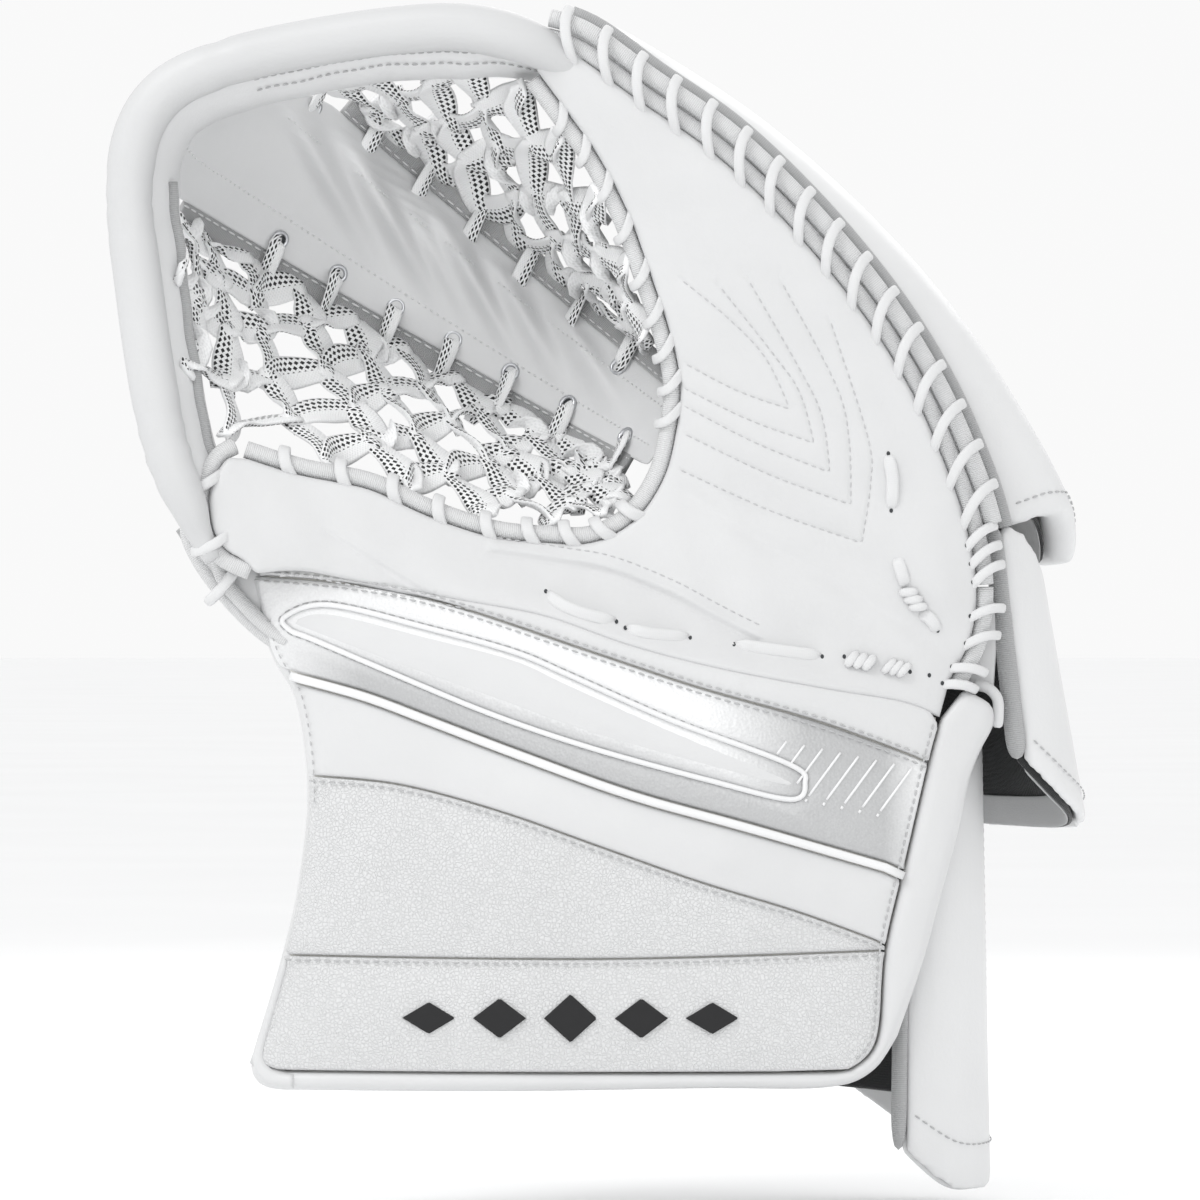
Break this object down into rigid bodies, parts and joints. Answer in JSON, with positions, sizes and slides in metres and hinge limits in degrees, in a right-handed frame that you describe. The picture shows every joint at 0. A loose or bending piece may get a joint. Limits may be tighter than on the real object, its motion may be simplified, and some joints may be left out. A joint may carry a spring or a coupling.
{
  "type": "goalie catch glove",
  "caption": "Hockey goalkeeper's catch glove with a laced deep pocket, hinged padded palm, wide stepped cuff, wrist guards and closure straps.",
  "frame": {"origin": "middle of the hand opening between the cuff plate and the back of the wrist, level with the cuff plate's lower edge", "axes": "+Z from the cuff to the fingertips, +Y from the palm to the back of the hand, +X from the thumb side to the little finger side"},
  "size_m": [0.336, 0.1242, 0.4063],
  "materials": {
    "smooth_leather": "satin",
    "grain_leather": "pebbled matte",
    "sheen_leather": "silvery sheen",
    "piping": "glossy",
    "emblem": "matte",
    "foam": "matte",
    "board": "matte",
    "lining": "matte",
    "binding": "ribbed",
    "lace": "woven",
    "metal": "satin",
    "webbing": "woven"
  },
  "bodies": {
    "thumb_side": {"cuff_board": "foam", "cuff_liner": "lining", "cuff_base_panel": "grain_leather", "cuff_grain_panel": "grain_leather", "cuff_smooth_stripe": "smooth_leather", "cuff_sheen_panel": "sheen_leather", "cuff_window_inlay": "smooth_leather", "cuff_top_strip": "smooth_leather", "cuff_piping": "piping", "cuff_binding": "smooth_leather", "cuff_emblem": "emblem", "palm_skin_thumb": "smooth_leather", "palm_foam_thumb": "foam", "thumb_board": "board", "thumb_liner": "lining", "palm_crease": "smooth_leather", "thumb_back_pad": "smooth_leather", "thumb_pad_binding": "binding", "thumb_edge_binding": "binding", "thumb_edge_lace": "lace", "thumb_pad_liner": "lining", "palm_laces": "lace", "pocket_binding": "binding", "pocket_lace_thumb": "lace", "lower_net": "lace", "tee_front": "smooth_leather", "tee_back": "smooth_leather", "tee_binding_lower": "binding", "tee_binding_upper": "binding", "tee_eyelets": "metal", "perimeter_roll": "smooth_leather", "perimeter_band": "binding", "heel_edge_binding": "binding", "heel_edge_lace": "lace", "hand_back_panel": "lining", "strap_patches": "webbing", "strap_rings": "metal", "strap_tabs": "webbing"},
    "finger_side": {"palm_skin_finger": "smooth_leather", "palm_foam_finger": "foam", "finger_board": "board", "finger_liner": "lining", "pocket_lace_finger": "lace", "upper_net": "lace", "palm_edge_binding": "binding", "backhand_edge_binding": "binding", "edge_lace": "lace", "backhand_pad": "smooth_leather", "backhand_pad_binding": "binding", "backhand_liner": "lining", "finger_dividers": "lining"},
    "wrist_guard_flap": {"wrist_guard": "smooth_leather", "wrist_guard_liner": "lining", "wrist_guard_binding": "binding"},
    "cuff_guard_flap": {"cuff_guard": "smooth_leather", "cuff_guard_liner": "lining", "cuff_guard_binding": "binding"},
    "wrist_strap_band": {"wrist_strap": "webbing"},
    "hand_strap_band": {"hand_strap": "webbing"}
  },
  "joints": [
    {"name": "glove_break", "type": "hinge", "parent": "thumb_side", "child": "finger_side", "pos_m": [0.017, -0.01, 0.228], "axis": [0.8192, 0, -0.5736], "range_deg": [0, 30], "stiffness_Nm_per_rad": 8, "springref_deg": -6.88, "deforming": ["perimeter_roll", "perimeter_band", "upper_net", "palm_crease", "pocket_binding", "palm_laces"]},
    {"name": "wrist_guard_flex", "type": "hinge", "parent": "thumb_side", "child": "wrist_guard_flap", "pos_m": [0.141, -0.023, 0.15], "axis": [0, 0, -1], "range_deg": [0, 18], "stiffness_Nm_per_rad": 1.5, "springref_deg": -2.86},
    {"name": "cuff_guard_flex", "type": "hinge", "parent": "thumb_side", "child": "cuff_guard_flap", "pos_m": [0.107, -0.022, 0.03], "axis": [0, 0, -1], "range_deg": [0, 10], "stiffness_Nm_per_rad": 1.5, "springref_deg": -2.86},
    {"name": "wrist_strap_peel", "type": "hinge", "parent": "thumb_side", "child": "wrist_strap_band", "pos_m": [-0.064, 0.012, 0.062], "axis": [0, 0, 1], "range_deg": [0, 100]},
    {"name": "hand_strap_peel", "type": "hinge", "parent": "thumb_side", "child": "hand_strap_band", "pos_m": [-0.064, 0.012, 0.118], "axis": [0, 0, 1], "range_deg": [0, 100]}
  ]
}
